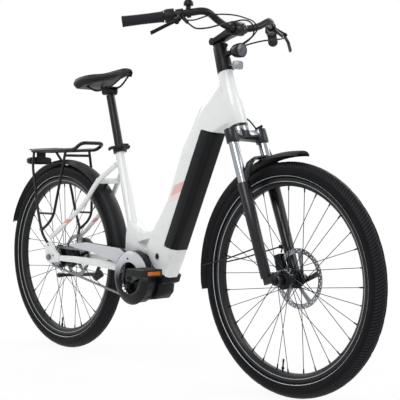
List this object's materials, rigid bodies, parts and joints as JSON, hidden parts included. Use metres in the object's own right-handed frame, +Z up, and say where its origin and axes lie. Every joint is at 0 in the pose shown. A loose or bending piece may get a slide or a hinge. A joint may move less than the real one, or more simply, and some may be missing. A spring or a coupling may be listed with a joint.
{
  "type": "step-through electric bicycle",
  "caption": "Step-through electric bicycle with mid motor, down-tube battery, suspension fork, disc brakes, mudguards, rear rack and lamps.",
  "frame": {"origin": "on the ground, half way between the two axles", "axes": "+X forward, +Y to the rider's left, +Z up"},
  "size_m": [1.839, 0.673, 1.1754],
  "materials": {
    "pearl": "gloss pearl white paint",
    "black_alloy": "satin black paint on alloy",
    "satin_plastic": "satin black plastic",
    "gloss_black": "gloss black plastic",
    "graphite": "dark grey satin paint",
    "tyre": "black tyre rubber",
    "rubber": "dull black rubber",
    "crown": "dark anodised alloy with polished legs",
    "steel": "machined steel",
    "red_lens": "dark red lamp plastic",
    "clear_lens": "clear lamp plastic",
    "saddle": "matte black saddle cover"
  },
  "bodies": {
    "frame": {"main_frame": "pearl", "chainstays": "pearl", "seatstays": "pearl", "motor_housing": "graphite", "chain_guard": "satin_plastic", "kickstand_bracket": "black_alloy", "rear_rack": "black_alloy", "tail_light_housing": "satin_plastic", "tail_light_lens": "red_lens", "rear_mudguard": "satin_plastic", "seat_clamp_collar": "black_alloy", "rear_brake_caliper": "black_alloy", "drive_chain": "steel", "rear_axle": "steel"},
    "clamp_lever": {"seat_clamp_lever": "black_alloy"},
    "port_cover": {"charge_port_cover": "rubber"},
    "battery": {"battery_pack": "gloss_black"},
    "stand": {"kickstand_leg": "black_alloy"},
    "post": {"seatpost": "black_alloy", "saddle_clamp": "black_alloy", "saddle_base": "satin_plastic", "saddle_pad": "saddle"},
    "steering": {"fork_upper": "crown", "stem_spacer": "black_alloy", "stem_base": "black_alloy", "front_reflector": "clear_lens", "bar_hoses": "rubber"},
    "lamp": {"headlamp_housing": "satin_plastic", "headlamp_lens": "clear_lens"},
    "lockout": {"lockout_knob": "black_alloy"},
    "cockpit": {"stem_arm": "black_alloy", "handlebar": "black_alloy", "grip_left": "rubber", "grip_right": "rubber", "lever_clamp_left": "black_alloy", "lever_clamp_right": "black_alloy", "control_pod": "satin_plastic", "bell_clamp": "satin_plastic"},
    "bell": {"bell_dome": "black_alloy"},
    "left_lever": {"brake_lever_left": "black_alloy"},
    "right_lever": {"brake_lever_right": "black_alloy"},
    "shifter": {"twist_shifter": "rubber"},
    "lowers": {"fork_lowers": "black_alloy", "front_mudguard": "satin_plastic", "front_brake_caliper": "black_alloy", "front_axle": "black_alloy", "front_brake_hose": "rubber"},
    "front_wheel": {"front_tyre": "tyre", "front_rim": "black_alloy", "front_hub": "black_alloy", "front_rotor": "steel"},
    "rear_wheel": {"rear_tyre": "tyre", "rear_rim": "black_alloy", "rear_hub": "black_alloy", "rear_rotor": "steel"},
    "sprocket": {"rear_sprocket": "steel"},
    "cranks": {"chainring": "black_alloy", "crankset": "black_alloy"},
    "right_pedal": {"pedal_right": "satin_plastic"},
    "left_pedal": {"pedal_left": "satin_plastic"}
  },
  "joints": [
    {"name": "steering", "type": "hinge", "parent": "frame", "child": "steering", "pos_m": [0.30401, 0, 0.972], "axis": [-0.3256, 0, 0.9455], "range_deg": [-60, 60]},
    {"name": "stem_tilt", "type": "hinge", "parent": "steering", "child": "cockpit", "pos_m": [0.25939, 0, 1.07086], "axis": [0, -1, 0], "range_deg": [-5, 40], "deforming": ["bar_hoses"]},
    {"name": "headlamp_tilt", "type": "hinge", "parent": "steering", "child": "lamp", "pos_m": [0.3246, 0, 1.03197], "axis": [0, 1, 0], "range_deg": [-10, 10]},
    {"name": "lockout_turn", "type": "hinge", "parent": "steering", "child": "lockout", "pos_m": [0.38855, 0.063, 0.79096], "axis": [-0.3256, 0, 0.9455], "range_deg": [0, 90]},
    {"name": "brake_left", "type": "hinge", "parent": "cockpit", "child": "left_lever", "pos_m": [0.33605, 0.232, 1.10469], "axis": [0.3628, 0.6001, 0.7129], "range_deg": [0, 20], "stiffness_Nm_per_rad": 1.5, "springref_deg": -11.46},
    {"name": "brake_right", "type": "hinge", "parent": "cockpit", "child": "right_lever", "pos_m": [0.33605, -0.232, 1.10469], "axis": [-0.3628, 0.6001, -0.7129], "range_deg": [0, 20], "stiffness_Nm_per_rad": 1.5, "springref_deg": -11.46},
    {"name": "shift_twist", "type": "hinge", "parent": "cockpit", "child": "shifter", "pos_m": [0.27909, -0.232, 1.12277], "axis": [0.6573, 0.7373, 0.1562], "range_deg": [-55, 55]},
    {"name": "bell_twist", "type": "hinge", "parent": "cockpit", "child": "bell", "pos_m": [0.32773, -0.17744, 1.14], "axis": [0, 0, 1], "range_deg": [-20, 20], "stiffness_Nm_per_rad": 0.05},
    {"name": "fork_travel", "type": "slide", "parent": "steering", "child": "lowers", "axis": [-0.3256, 0, 0.9455], "range_m": [0, 0.063], "stiffness_N_per_m": 8000, "springref_m": -0.02, "deforming": ["front_brake_hose"]},
    {"name": "front_wheel_spin", "type": "hinge", "parent": "lowers", "child": "front_wheel", "pos_m": [0.57349, 0, 0.346], "axis": [0, 1, 0], "continuous": true},
    {"name": "rear_wheel_spin", "type": "hinge", "parent": "frame", "child": "rear_wheel", "pos_m": [-0.57349, 0, 0.346], "axis": [0, 1, 0], "continuous": true},
    {"name": "crank_spin", "type": "hinge", "parent": "frame", "child": "cranks", "pos_m": [-0.09299, 0, 0.304], "axis": [0, 1, 0], "continuous": true, "deforming": ["drive_chain"]},
    {"name": "sprocket_spin", "type": "hinge", "parent": "frame", "child": "sprocket", "pos_m": [-0.57349, 0, 0.346], "axis": [0, 1, 0], "continuous": true},
    {"name": "pedal_right_spin", "type": "hinge", "parent": "cranks", "child": "right_pedal", "pos_m": [0.0733, -0.1415, 0.33934], "axis": [0, 1, 0], "continuous": true},
    {"name": "pedal_left_spin", "type": "hinge", "parent": "cranks", "child": "left_pedal", "pos_m": [-0.25928, 0.1415, 0.26866], "axis": [0, 1, 0], "continuous": true},
    {"name": "kickstand_swing", "type": "hinge", "parent": "frame", "child": "stand", "pos_m": [-0.487, 0.084, 0.272], "axis": [0, -0.8968, -0.4425], "range_deg": [0, 92]},
    {"name": "seatpost_height", "type": "slide", "parent": "frame", "child": "post", "axis": [-0.2689, 0, 0.9632], "range_m": [-0.12, 0.05]},
    {"name": "seat_lever_open", "type": "hinge", "parent": "frame", "child": "clamp_lever", "pos_m": [-0.20514, 0, 0.75331], "axis": [0, 1, 0], "range_deg": [0, 150]},
    {"name": "battery_tilt", "type": "hinge", "parent": "frame", "child": "battery", "pos_m": [0.097, 0, 0.40578], "axis": [0, 1, 0], "range_deg": [0, 7]},
    {"name": "port_cover_swing", "type": "hinge", "parent": "frame", "child": "port_cover", "pos_m": [0.01278, -0.0373, 0.39207], "axis": [-1, 0, 0], "range_deg": [0, 100]}
  ],
  "couplings": [
    {"joint": "sprocket_spin", "follows": "crank_spin", "ratio": 2.1111}
  ]
}
